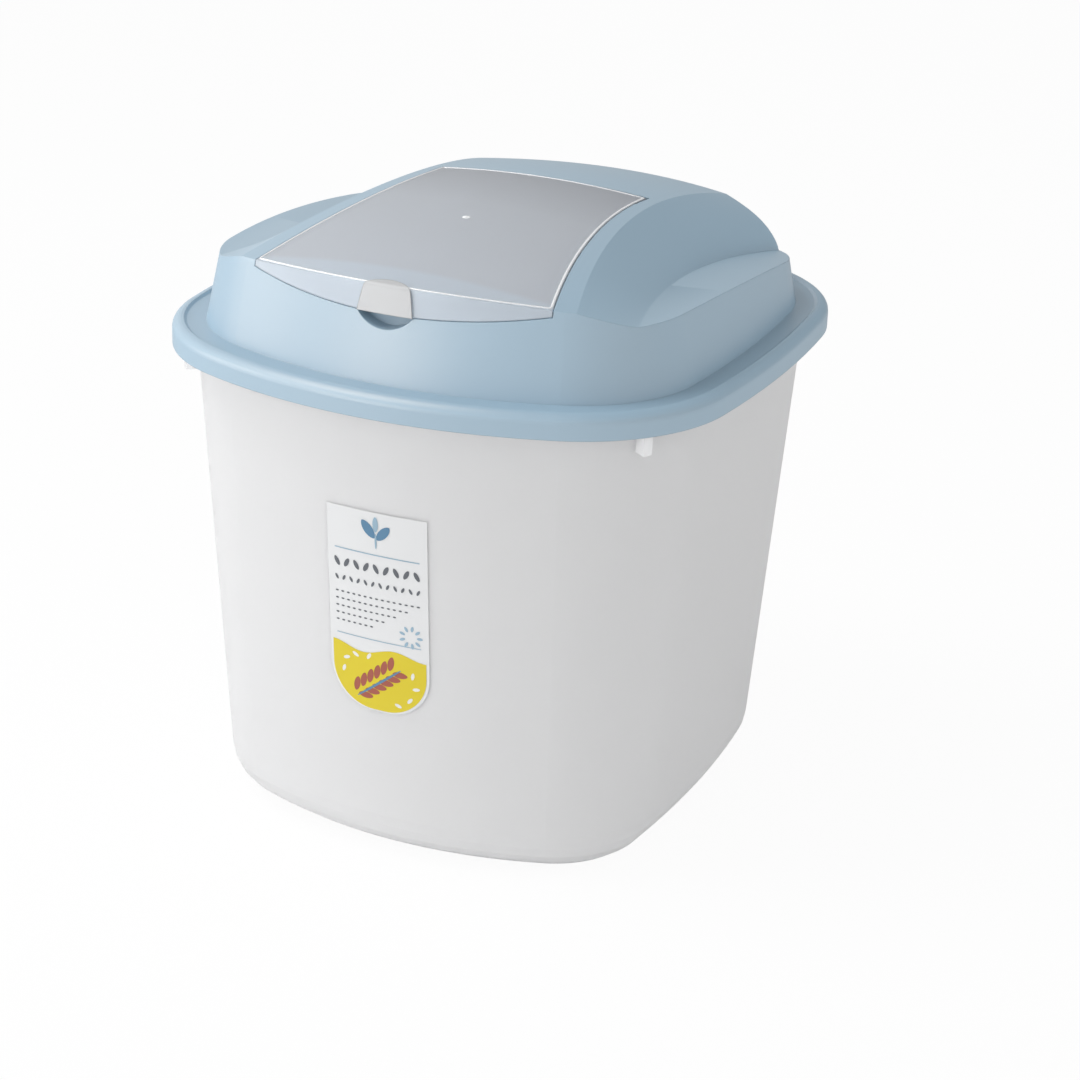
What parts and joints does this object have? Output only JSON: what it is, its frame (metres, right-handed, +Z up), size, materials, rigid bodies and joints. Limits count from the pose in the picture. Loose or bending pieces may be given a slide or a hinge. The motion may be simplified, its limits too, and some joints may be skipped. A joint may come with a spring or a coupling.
{
  "type": "rice bin with flip lid",
  "caption": "Rounded square storage bin with a lift-off lid, a crowned raised top and a hinged translucent flip cover over a scoop opening.",
  "frame": {"origin": "centre of the bounding box's bottom face, on the surface the bin stands on", "axes": "+Z up, -Y towards the front with the label and the lifting tab, +X to the right seen from the front"},
  "size_m": [0.26, 0.272, 0.2745],
  "materials": {
    "bucket": "satin translucent white polypropylene",
    "lid": "satin pale blue polypropylene",
    "seal": "soft matt silicone",
    "cover": "frosted clear polypropylene",
    "label": "printed film"
  },
  "bodies": {
    "bucket_body": {"bucket": "bucket", "label": "label"},
    "lid_body": {"lid": "lid", "lid_seal": "seal"},
    "cover_body": {"flip_cover": "cover"}
  },
  "joints": [
    {"name": "lid_lift", "type": "slide", "parent": "bucket_body", "child": "lid_body", "axis": [0, 0, 1], "range_m": [0, 0.13]},
    {"name": "cover_flip", "type": "hinge", "parent": "lid_body", "child": "cover_body", "pos_m": [0, 0.028, 0.2674], "axis": [-1, 0, 0], "range_deg": [0, 95]}
  ]
}
